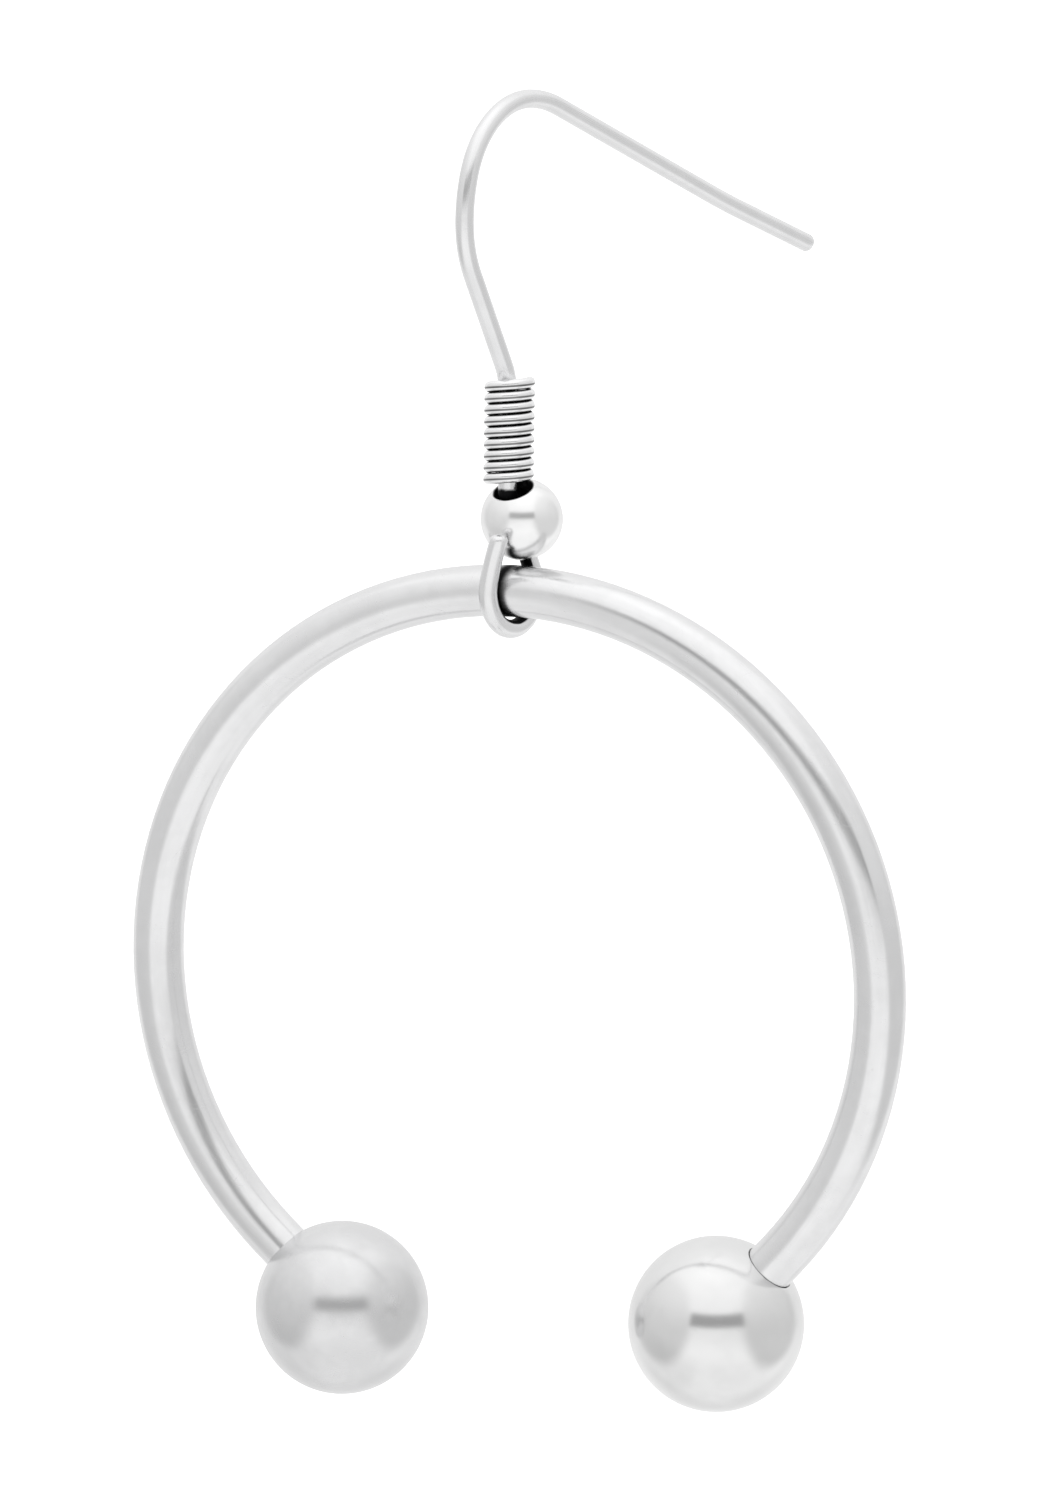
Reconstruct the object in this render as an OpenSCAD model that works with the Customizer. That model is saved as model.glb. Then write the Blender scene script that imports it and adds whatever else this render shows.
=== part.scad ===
// Circular barbell hung from a fish-hook ear wire with a wound coil and a drilled bead.
// Millimetres, +Z up. The origin is the underside of the hook's top bend, where it hangs.
// The barbell's ring lies in the XZ plane at rest.

/* [Ear wire] */
// Diameter of the ear wire
wire_d = 0.7; // [0.6:0.05:0.75]
// Turn of the hook's plane from the barbell's plane, in degrees
hook_turn = 75; // [70:1:90]
// Sideways spring of the open eye's free end, past the bead
tip_side = 0.5; // [0.48:0.02:0.66]

/* [Coil] */
// Outer diameter of the wound coil
coil_d = 1.9; // [1.86:0.01:1.92]
// Diameter of the coil's own wire
coil_wire_d = 0.42; // [0.38:0.01:0.42]
// Rise of the coil in one turn
coil_pitch = 0.434; // [0.43:0.001:0.44]
// Number of turns in the coil
coil_turns = 8.5; // [7:0.1:8.6]

/* [Bead] */
// Diameter of the drilled bead
bead_d = 3.1; // [2.9:0.02:3.1]
// Diameter of the hole through the bead
bead_hole_d = 1.5; // [1.46:0.01:1.6]
// Lean of the bead's hole from the vertical, in degrees
bead_lean = 25; // [24:1:27]

/* [Barbell] */
// Diameter of the bar
bar_d = 1.95; // [1.6:0.05:2.0]
// Radius of the ring along the bar's centreline
ring_r = 14.7; // [13:0.1:16]
// Half of the angle left open at the ring's foot, where the bend stops, in degrees
open_half = 45.1; // [40:0.1:50]
// Turn of the ring in its own plane, in degrees
ring_roll = 2.6; // [-5:0.1:5]
// Straight run from the end of the bend to the middle of the ball
end_run = 3.88; // [3.6:0.01:4.2]
// Diameter of the balls
ball_d = 6.65; // [6.6:0.05:7]

/* [Hidden] */

$fn = 96;
WIRE_SIDES = 18;
COIL_SIDES = 10;
// Largest turn between two rings of a swept wire, in degrees
BEND_STEP = 6;
COIL_STEP = 18;

// Columns of the bend tables: straight run, then the turn in degrees with left
// positive, then the radius of the turn along the wire's centreline
RUN = 0;
TURN = 1;
RADIUS = 2;

// Columns of a station on the wire: across, up, heading in degrees, length so far
ACROSS = 0;
UP = 1;
HEADING = 2;
LENGTH = 3;

// The wire in its own plane, measured from the middle of the bar where it hangs.
// Both tables start at the foot of the coil, one going up and one going down.
COIL_FOOT = [-0.26, 3.93];
HOOK_BENDS = [
    [3.57, 28.5, 2.0],
    [3.98, -28.5, 4.1],
    [0, -18, 5.8],
    [0, -72, 3.74],
    [0, -3.5, 3.74],
    [0, -18.5, 5.5],
    [11.05, 2.2, 30],
    [5.35, 0, 1]
];
// Row of the hook's table that ends at the highest point of the wire
TOP_ROW = 3;
EYE_BENDS = [
    [0.15, 27.4, 0.9],
    [3.13, -27.4, 1.5],
    [0.12, -90, 1.34],
    [0, -90, 1.59],
    [0.65, 0, 1],
    [0.65, 0, 1],
    [0.65, 0, 1]
];
// Row of the eye's table after which the front arm leans sideways, and the power of
// the length along the arm that the lean grows with
ARM_ROW = 3;
ARM_CURVE = 1.4;
// Height of the hook's and the arm's domed ends against the wire's radius, and the angles
// of their sections
END_DOME = 0.45;
ARM_DOME = 0.75;
DOME_ANGLES = [25, 50, 72];

// The bar hangs this far below the eye's measured middle
BAR_DROP = 0.115;
// The middle of the ring lies this far to the right of the eye
RING_SHIFT = 0.04;
// Foot of the coil's axis: across, to the side, up
COIL_FOOT_AXIS = [-0.18, -0.02, 4.11];
// Lean of the coil's axis to the side, in degrees
COIL_LEAN = 1;
// Direction of the coil's lower end, from the hook's long arm, in degrees
COIL_START = 120;
// The coil's turns lie this much out of square to its axis, in degrees, lower on this side
TURN_TILT = 5;
TURN_TILT_SIDE = 37;
// Middle of the bead: across, to the side, up
BEAD_CENTRE = [0.5, -0.1, 2.56];

// How far the bar's shoulder stays from the middle of the ball
SHOULDER = 3.0;
PIN_D = 1.2;
PIN_RUN = 2.4;
FIT_GAP = 0.03;
// The bar's straight ends start a little inside the bend, and are this much thinner
END_LAP = 0.2;
END_STEP = 0.01;

function sum(values, i = 0) = i == len(values) ? 0 : values[i] + sum(values, i + 1);
function row_length(row) = row[RUN] + row[RADIUS] * abs(row[TURN]) * PI / 180;
function table_length(rows, last) = sum([for (i = [0 : last]) row_length(rows[i])]);

// One station further along: a straight run, and then a turn about a centre beside the wire
function after_run(s, run) = [
    s[ACROSS] + run * cos(s[HEADING]),
    s[UP] + run * sin(s[HEADING]),
    s[HEADING],
    s[LENGTH] + run
];
function after_turn(s, turn, radius) = let (
    side = turn < 0 ? -radius : radius,
    heading = s[HEADING] + turn
) [
    s[ACROSS] + side * (sin(heading) - sin(s[HEADING])),
    s[UP] - side * (cos(heading) - cos(s[HEADING])),
    heading,
    s[LENGTH] + radius * abs(turn) * PI / 180
];
function after_row(s, row) = after_turn(after_run(s, row[RUN]), row[TURN], row[RADIUS]);
function row_stations(s, row) = let (
    bend_start = after_run(s, row[RUN]),
    steps = ceil(abs(row[TURN]) / BEND_STEP)
) concat(
    row[RUN] > 0 ? [bend_start] : [],
    [for (k = [1 : 1 : steps]) after_turn(bend_start, row[TURN] * k / steps, row[RADIUS])]
);
function stations(s, rows, i = 0) = i == len(rows)
    ? []
    : concat(row_stations(s, rows[i]), stations(after_row(s, rows[i]), rows, i + 1));
function station_after(s, rows, last, i = 0) = i > last
    ? s
    : station_after(after_row(s, rows[i]), rows, last, i + 1);

UP_START = [COIL_FOOT[0], COIL_FOOT[1], 90, 0];
DOWN_START = [COIL_FOOT[0], COIL_FOOT[1], -90, 0];
TOP = station_after(UP_START, HOOK_BENDS, TOP_ROW);
// Underside of the top bend, in the wire's plane: this point is the part's origin
HANG = [TOP[ACROSS], 0, TOP[UP] - wire_d / 2];
// Middle of the bar where the eye holds it
BAR_SEAT = [-HANG[0] * cos(hook_turn), -HANG[0] * sin(hook_turn), -HANG[2] - BAR_DROP];
RING_CENTRE = BAR_SEAT + [RING_SHIFT, 0, -ring_r];

// The eye's front arm springs sideways, more and more towards its tip
arm_start = table_length(EYE_BENDS, ARM_ROW);
arm_end = table_length(EYE_BENDS, len(EYE_BENDS) - 1);
function side_at(s) =
    -tip_side * pow(max(0, (s[LENGTH] - arm_start) / (arm_end - arm_start)), ARM_CURVE);

// A round section of the wire, square to its heading
function wire_ring(s, side, r, sides) = [
    for (j = [0 : sides - 1]) let (a = 360 * j / sides) [
        s[ACROSS] - r * cos(a) * sin(s[HEADING]),
        side + r * sin(a),
        s[UP] + r * cos(a) * cos(s[HEADING])
    ]
];
// Sections of a domed end, from the rim to the tip
function dome_rings(s, side, r, sides) = [
    for (a = DOME_ANGLES)
        wire_ring(after_run(s, END_DOME * r * sin(a)), side, r * cos(a), sides)
];
function turned_round(s) = [s[ACROSS], s[UP], s[HEADING] + 180, s[LENGTH]];
function backwards(list) = [for (i = [len(list) - 1 : -1 : 0]) list[i]];

// Closed skin over a row of sections with equal numbers of points
module skin(rings) {
    sides = len(rings[0]);
    last = len(rings) - 1;
    polyhedron(
        points = [for (ring = rings) each ring],
        faces = concat(
            [[for (j = [sides - 1 : -1 : 0]) j]],
            [for (i = [0 : last - 1], j = [0 : sides - 1]) [
                i * sides + j,
                i * sides + (j + 1) % sides,
                (i + 1) * sides + (j + 1) % sides,
                (i + 1) * sides + j
            ]],
            [[for (j = [0 : sides - 1]) last * sides + j]]
        )
    );
}

// Moves what is drawn in the wire's own plane to its place in the part
module in_hook_plane() {
    rotate([0, 0, hook_turn]) translate(-HANG) children();
}

module ear_wire() {
    hook = stations(UP_START, HOOK_BENDS);
    eye = stations(DOWN_START, EYE_BENDS);
    hook_end = hook[len(hook) - 1];
    eye_end = eye[len(eye) - 1];
    r = wire_d / 2;
    eye_rings = [for (s = eye) wire_ring(turned_round(s), side_at(s), r, WIRE_SIDES)];
    tip_rings = [
        for (a = DOME_ANGLES)
            wire_ring(
                turned_round(after_run(eye_end, ARM_DOME * r * sin(a))),
                side_at(eye_end), r * cos(a), WIRE_SIDES
            )
    ];
    color("silver") in_hook_plane() skin(concat(
        backwards(tip_rings),
        backwards(eye_rings),
        [for (s = hook) wire_ring(s, 0, r, WIRE_SIDES)],
        dome_rings(hook_end, 0, r, WIRE_SIDES)
    ));
}

function tilted(p) = [
    p[0],
    p[1],
    p[2] - tan(TURN_TILT) * (p[0] * cos(TURN_TILT_SIDE) + p[1] * sin(TURN_TILT_SIDE))
];

module coil() {
    winding_r = (coil_d - coil_wire_d) / 2;
    slope = atan(coil_pitch / (2 * PI * winding_r));
    r = coil_wire_d / 2;
    rings = [
        for (s = [0 : COIL_STEP : 360 * coil_turns]) let (t = COIL_START + s) [
            for (j = [0 : COIL_SIDES - 1]) let (a = 360 * j / COIL_SIDES) tilted([
                (winding_r + r * cos(a)) * cos(t) + r * sin(a) * sin(slope) * sin(t),
                (winding_r + r * cos(a)) * sin(t) - r * sin(a) * sin(slope) * cos(t),
                coil_pitch * s / 360 + r * sin(a) * cos(slope)
            ])
        ]
    ];
    half_rise = [0, 0, coil_pitch * coil_turns / 2];
    color("gainsboro") in_hook_plane() translate(COIL_FOOT_AXIS + half_rise)
        rotate([COIL_LEAN, 0, 0]) translate(-half_rise) skin(rings);
}

module bead() {
    color("whitesmoke") in_hook_plane() translate(BEAD_CENTRE) rotate([0, -bead_lean, 0])
        difference() {
            sphere(d = bead_d);
            cylinder(d = bead_hole_d, h = 2 * bead_d, center = true);
        }
}

// Moves what is drawn on the Z axis to one end of the bar, with Z leaving along the bar.
// The side is 1 for the right end and -1 for the left one.
module at_bar_end(side) {
    translate(RING_CENTRE) rotate([90, 0, 0])
        rotate([0, 0, 270 + ring_roll + side * open_half]) translate([ring_r, 0, 0])
            rotate([side * 90, 0, 0]) children();
}

module barbell_bar() {
    color("silver") union() {
        translate(RING_CENTRE) rotate([90, 0, 0])
            rotate([0, 0, ring_roll + open_half - 90]) rotate_extrude(angle = 360 - 2 * open_half)
                translate([ring_r, 0]) circle(d = bar_d);
        for (side = [-1, 1]) at_bar_end(side) {
            translate([0, 0, -END_LAP]) cylinder(d = bar_d - END_STEP, h = END_LAP + end_run - SHOULDER);
            cylinder(d = PIN_D, h = end_run - SHOULDER + PIN_RUN);
        }
    }
}

// A ball with a shallow seat for the bar's shoulder and a blind hole for its pin
module end_ball(side) {
    color("whitesmoke") at_bar_end(side) translate([0, 0, end_run]) difference() {
        sphere(d = ball_d);
        translate([0, 0, -ball_d]) cylinder(d = bar_d + 2 * FIT_GAP, h = ball_d - SHOULDER + FIT_GAP);
        translate([0, 0, -ball_d])
            cylinder(d = PIN_D + 2 * FIT_GAP, h = ball_d - SHOULDER + PIN_RUN + FIT_GAP);
    }
}

module ball_left() {
    end_ball(-1);
}

module ball_right() {
    end_ball(1);
}

ear_wire();
coil();
bead();
barbell_bar();
ball_left();
ball_right();
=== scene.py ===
"""Looks of a horseshoe barbell that hangs from a fish-hook ear wire.

Sizes are in millimetres, as a maker would give them, and MM turns them into metres.
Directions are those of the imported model: +X to the right ball, +Y to the back, +Z up.
"""

import logging
import math
from dataclasses import dataclass
from enum import Enum
from typing import Callable, Iterable, Sequence

import bmesh
import bpy
from mathutils import Euler, Matrix, Vector


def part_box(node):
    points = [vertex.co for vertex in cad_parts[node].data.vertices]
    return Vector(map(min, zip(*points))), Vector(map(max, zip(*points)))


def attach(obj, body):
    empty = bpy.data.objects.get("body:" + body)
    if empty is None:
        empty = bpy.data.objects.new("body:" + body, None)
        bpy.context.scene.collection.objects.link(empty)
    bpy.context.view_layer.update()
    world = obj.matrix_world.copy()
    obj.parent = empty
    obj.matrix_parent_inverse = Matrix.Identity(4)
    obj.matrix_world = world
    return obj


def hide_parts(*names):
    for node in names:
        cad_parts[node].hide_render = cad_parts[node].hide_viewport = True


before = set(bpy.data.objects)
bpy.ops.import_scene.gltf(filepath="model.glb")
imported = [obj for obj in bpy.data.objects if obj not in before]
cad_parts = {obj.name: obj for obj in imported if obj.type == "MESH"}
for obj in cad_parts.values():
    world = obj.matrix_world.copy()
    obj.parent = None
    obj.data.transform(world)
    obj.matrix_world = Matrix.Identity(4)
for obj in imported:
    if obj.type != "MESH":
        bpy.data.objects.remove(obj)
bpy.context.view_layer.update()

MM = 0.001
WELD = 1e-7
SHARP_ANGLE = 50.0
PATH_NAME = "wire_path"
UP = Vector((0.0, 0.0, 1.0))

Piece = bpy.types.Object
Socket = bpy.types.NodeSocket
Source = Socket | float | tuple[float, ...]

log = logging.getLogger("earring")


class Body(Enum):
    """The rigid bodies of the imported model."""

    EAR_WIRE = "ear_wire_assembly"
    BARBELL = "barbell"


class Side(Enum):
    """The two ends of the bar, with the sign of the turn that leads to each."""

    LEFT = -1
    RIGHT = 1


@dataclass(frozen=True)
class Bend:
    """One row of a bending table: a straight run and then a turn.

    Attributes:
        run: Length of the straight run, in millimetres.
        turn: Angle of the turn in degrees, with left positive.
        radius: Radius of the turn along the wire's centreline, in millimetres.
    """

    run: float
    turn: float = 0.0
    radius: float = 1.0

    def length(self) -> float:
        """Length of wire that the row takes, in millimetres."""
        return self.run + self.radius * abs(math.radians(self.turn))

    def backwards(self) -> tuple["Bend", "Bend"]:
        """The row as it is drawn from its far end: the turn and then the run."""
        return Bend(0.0, -self.turn, self.radius), Bend(self.run)


@dataclass(frozen=True)
class Station:
    """A place on a wire, in the wire's own plane.

    Attributes:
        across: Distance across the plane, in millimetres.
        up: Height in the plane, in millimetres.
        heading: Direction of the wire in degrees, from across towards up.
    """

    across: float
    up: float
    heading: float

    def direction(self) -> Vector:
        """Unit vector along the wire, in plane coordinates."""
        angle = math.radians(self.heading)
        return Vector((math.cos(angle), 0.0, math.sin(angle)))

    def point(self, side: float = 0.0) -> Vector:
        """The station's point in plane coordinates, in millimetres."""
        return Vector((self.across, side, self.up))

    def bend_centre(self, bend: Bend) -> Vector:
        """Centre of a turn that starts here, on the left for a left turn."""
        way = self.direction()
        return self.point() + Vector((-way.z, 0.0, way.x)) * math.copysign(bend.radius, bend.turn)

    def after(self, bend: Bend) -> "Station":
        """Follows one row of a bending table.

        Args:
            bend: The row.

        Returns:
            The station at its end.
        """
        moved = self.point() + self.direction() * bend.run
        start = Station(moved.x, moved.z, self.heading)
        centre = start.bend_centre(bend)
        end = centre + Matrix.Rotation(math.radians(-bend.turn), 3, "Y") @ (moved - centre)
        return Station(end.x, end.z, self.heading + bend.turn)

    def follow(self, bends: Iterable[Bend]) -> "Station":
        """Follows a bending table.

        Args:
            bends: Its rows.

        Returns:
            The station at the end of the last row.
        """
        station = self
        for bend in bends:
            station = station.after(bend)
        return station

    def turned_round(self) -> "Station":
        """The same place on a wire that runs the other way."""
        return Station(self.across, self.up, self.heading + 180.0)


def clear_selection() -> None:
    """Leaves edit mode and deselects every object."""
    if bpy.context.mode != "OBJECT":
        bpy.ops.object.mode_set(mode="OBJECT")
    bpy.ops.object.select_all(action="DESELECT")


def name_and_settle(name: str) -> Piece:
    """Names the new primitive and puts its place into its mesh.

    Args:
        name: The piece's name.

    Returns:
        The primitive's object, which now sits at the origin, unturned.
    """
    piece = bpy.context.object
    piece.name = name
    piece.data.name = name
    bpy.ops.object.transform_apply()
    return piece


def select_only(piece: Piece) -> None:
    """Selects one piece alone and makes it the active one.

    Args:
        piece: The piece.
    """
    clear_selection()
    bpy.context.view_layer.objects.active = piece
    piece.select_set(True)


def add_ring(name: str, sides: int, radius: float, middle: Vector, turn: Matrix) -> Piece:
    """Adds the ring of points that a wire starts from.

    Args:
        name: The piece's name.
        sides: Number of points in the ring.
        radius: Radius of the wire, in millimetres.
        middle: Middle of the ring, in metres.
        turn: From the ring's own axes to the model.

    Returns:
        The ring's object.
    """
    clear_selection()
    bpy.ops.mesh.primitive_circle_add(
        vertices=sides,
        radius=radius * MM,
        fill_type="NOTHING",
        location=middle,
        rotation=turn.to_euler(),
    )
    return name_and_settle(name)


def close_and_smooth(piece: Piece) -> Piece:
    """Merges doubles, turns the faces outwards and smooths all but sharp edges.

    Args:
        piece: The piece that is being edited.

    Returns:
        The finished piece, deselected.
    """
    bpy.ops.mesh.select_all(action="SELECT")
    bpy.ops.mesh.remove_doubles(threshold=WELD)
    bpy.ops.mesh.normals_make_consistent(inside=False)
    bpy.ops.object.mode_set(mode="OBJECT")
    bpy.ops.object.shade_smooth_by_angle(angle=math.radians(SHARP_ANGLE))
    piece.select_set(False)
    return piece


def select_open_edges() -> None:
    """Selects the edges that have a face on one side only."""
    bpy.ops.mesh.select_all(action="DESELECT")
    bpy.ops.mesh.select_mode(type="EDGE")
    bpy.ops.mesh.select_non_manifold(extend=False)


def keep_near(piece: Piece, place: Vector, reach: float) -> None:
    """Deselects all that is farther than a reach from a place.

    Args:
        piece: The piece in edit mode.
        place: The place, in metres.
        reach: The reach, in metres.
    """
    shape = bmesh.from_edit_mesh(piece.data)
    for edge in shape.edges:
        if edge.select and (edge.verts[0].co - place).length > reach:
            edge.select_set(False)
    shape.select_flush_mode()
    bmesh.update_edit_mesh(piece.data)


class RingTool:
    """Draws a round section forward in edit mode, one ring at a time.

    The selected ring is extruded, moved along the axis and brought to its new radius, as
    on a lathe. The tool works in metres and takes its heights and radii in millimetres.
    """

    def __init__(self, centre: Vector, axis: Vector, height: float, radius: float) -> None:
        """Takes over the selected ring.

        Args:
            centre: The point on the axis where heights start, in metres.
            axis: Direction in which heights grow.
            height: Height of the selected ring, in millimetres.
            radius: Radius of the selected ring, in millimetres.
        """
        self.centre = centre
        self.axis = axis.normalized()
        self.height = height
        self.radius = radius

    def _draw_out(self, height: float) -> None:
        """Extrudes the ring to a new height, in millimetres."""
        move = self.axis * ((height - self.height) * MM)
        bpy.ops.mesh.extrude_edges_move(TRANSFORM_OT_translate={"value": move})

    def follow(self, profile: Iterable[tuple[float, float]]) -> None:
        """Draws the ring through a row of heights and radii.

        Args:
            profile: The heights and radii, in millimetres.
        """
        for height, radius in profile:
            self._draw_out(height)
            middle = self.centre + self.axis * (height * MM)
            share = radius / self.radius
            bpy.ops.transform.resize(value=(share, share, share), center_override=middle)
            self.height = height
            self.radius = radius

    def close(self, height: float) -> None:
        """Draws the ring to a point on the axis at this height, in millimetres."""
        self._draw_out(height)
        bpy.ops.mesh.merge(type="CENTER")

    def dome_over(self, rise: float, steps: int = 5) -> None:
        """Closes the end of a wire with a dome.

        Args:
            rise: Height of the dome against the wire's radius.
            steps: Number of rings between the rim and the tip.
        """
        radius = self.radius
        angles = [math.radians(90.0 * k / (steps + 1)) for k in range(1, steps + 1)]
        self.follow([(rise * radius * math.sin(a), radius * math.cos(a)) for a in angles])
        self.close(rise * radius)


class WireSweep:
    """Draws a round wire along runs and bends in edit mode, as on a bending jig.

    Each point of the mesh keeps its place along the wire and its place round the
    section, so that drawing lines in the finish can follow the wire.
    """

    TURN_STEP = 2.5
    RUN_STEP = 0.35

    def __init__(
        self,
        name: str,
        plane: Matrix,
        start: Station,
        radius: float,
        sides: int,
        side_at: Callable[[float], float] = lambda along: 0.0,
    ) -> None:
        """Adds the first ring at its place and opens it for editing.

        Args:
            name: The piece's name.
            plane: From the wire's plane in millimetres to the model in metres.
            start: Where the wire starts.
            radius: Radius of the wire, in millimetres.
            sides: Number of points in a ring.
            side_at: How far the wire lies out of its plane after a length of wire.
        """
        self.plane = plane
        self.start = start
        self.station = start
        self.radius = radius
        self.side_at = side_at
        self.along = 0.0
        self.axes = plane.to_3x3()
        middle = plane @ start.point(side_at(0.0))
        upright = Matrix.Rotation(math.radians(90.0 - start.heading), 3, "Y")
        turn = self.axes.normalized() @ upright
        self.piece = add_ring(name, sides, radius, middle, turn)
        bpy.ops.object.mode_set(mode="EDIT")
        bpy.ops.mesh.select_mode(type="VERT")
        bpy.ops.mesh.select_all(action="SELECT")
        self._mark_first_ring(middle, turn)

    def _mark_first_ring(self, middle: Vector, turn: Matrix) -> None:
        """Writes each point's place round the section, which later rings take over.

        Args:
            middle: The ring's middle, in metres.
            turn: From the ring's own axes to the model.
        """
        shape = bmesh.from_edit_mesh(self.piece.data)
        layer = shape.verts.layers.float_vector.new(PATH_NAME)
        for vert in shape.verts:
            spoke = (turn.transposed() @ (vert.co - middle)).normalized()
            vert[layer] = Vector((0.0, spoke.x, spoke.y))
        bmesh.update_edit_mesh(self.piece.data)

    def _count(self, length: float) -> None:
        """Writes the length of wire so far on the new ring.

        Args:
            length: Length of the last step, in millimetres.
        """
        self.along += length
        shape = bmesh.from_edit_mesh(self.piece.data)
        layer = shape.verts.layers.float_vector[PATH_NAME]
        for vert in shape.verts:
            if vert.select:
                vert[layer].x = self.along

    def draw(self, bend: Bend) -> None:
        """Draws one row of the bending table.

        Args:
            bend: The row.
        """
        if bend.run:
            self._run(bend.run)
        if bend.turn:
            self._turn(Bend(0.0, bend.turn, bend.radius))

    def _run(self, length: float) -> None:
        """Draws the wire straight on.

        Args:
            length: The length in millimetres.
        """
        steps = max(1, math.ceil(length / self.RUN_STEP))
        step = length / steps
        for _ in range(steps):
            drift = self.side_at(self.along + step) - self.side_at(self.along)
            move = self.axes @ (self.station.direction() * step + Vector((0.0, drift, 0.0)))
            bpy.ops.mesh.extrude_edges_move(TRANSFORM_OT_translate={"value": move})
            self.station = self.station.after(Bend(step))
            self._count(step)

    def _turn(self, bend: Bend) -> None:
        """Bends the wire.

        Args:
            bend: A row without a run.
        """
        steps = max(1, math.ceil(abs(bend.turn) / self.TURN_STEP))
        centre = self.plane @ self.station.bend_centre(bend)
        axis = (self.axes @ Vector((0.0, 1.0, 0.0))).normalized()
        angle = math.radians(bend.turn / steps)
        for _ in range(steps):
            bpy.ops.mesh.spin(steps=1, angle=angle, center=centre, axis=axis, use_auto_merge=False)
            self._count(bend.length() / steps)
        self.station = self.station.after(bend)

    def end_tool(self) -> RingTool:
        """A ring tool on the wire's far end, which is selected."""
        middle = self.plane @ self.station.point(self.side_at(self.along))
        return RingTool(middle, self.axes @ self.station.direction(), 0.0, self.radius)

    def start_tool(self) -> RingTool:
        """A ring tool on the wire's start, once the far end is closed.

        Returns:
            The tool.
        """
        select_open_edges()
        middle = self.plane @ self.start.point(self.side_at(0.0))
        return RingTool(middle, self.axes @ -self.start.direction(), 0.0, self.radius)


def rim(ball_r: float, hole_r: float, fillet: float, steps: int = 5) -> list[tuple[float, float]]:
    """The rounded rim between a ball's skin and a hole on its axis.

    Args:
        ball_r: Radius of the ball, in millimetres.
        hole_r: Radius of the hole, in millimetres.
        fillet: Radius of the rounding, in millimetres.
        steps: Number of rings after the first.

    Returns:
        Heights from the ball's middle and radii, from the skin into the hole.
    """
    middle_r = hole_r + fillet
    middle_h = math.sqrt((ball_r - fillet) ** 2 - middle_r**2)
    first = math.atan2(middle_h, middle_r)
    angles = [first + (math.pi - first) * k / steps for k in range(steps + 1)]
    return [(middle_h + fillet * math.sin(a), middle_r + fillet * math.cos(a)) for a in angles]


class TurnedBall:
    """A ball that is opened and drilled in edit mode."""

    def __init__(
        self, name: str, centre: Vector, rotation: Euler, radius: float, segments: int, rings: int
    ) -> None:
        """Adds the ball at its place and opens it for editing.

        Args:
            name: The piece's name.
            centre: The ball's middle, in metres.
            rotation: The turn of its poles.
            radius: Its radius, in millimetres.
            segments: Number of its meridians.
            rings: Number of its parallels.
        """
        clear_selection()
        bpy.ops.mesh.primitive_uv_sphere_add(
            segments=segments,
            ring_count=rings,
            radius=radius * MM,
            location=centre,
            rotation=rotation,
        )
        self.centre = centre
        self.piece = name_and_settle(name)
        bpy.ops.object.mode_set(mode="EDIT")

    def open_cap(self, axis: Vector, profile: Sequence[tuple[float, float]]) -> RingTool:
        """Cuts a cap off and draws the new edge round a rim.

        Args:
            axis: From the ball's middle to the cap.
            profile: The rim's heights and radii, from the ball's skin on.

        Returns:
            The tool on the rim's inner edge.
        """
        bpy.ops.mesh.select_mode(type="EDGE")
        bpy.ops.mesh.select_all(action="SELECT")
        cut = self.centre + axis * (profile[0][0] * MM)
        bpy.ops.mesh.bisect(plane_co=cut, plane_no=axis, clear_outer=True, threshold=WELD)
        tool = RingTool(self.centre, axis, *profile[0])
        tool.follow(profile[1:])
        return tool


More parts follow.
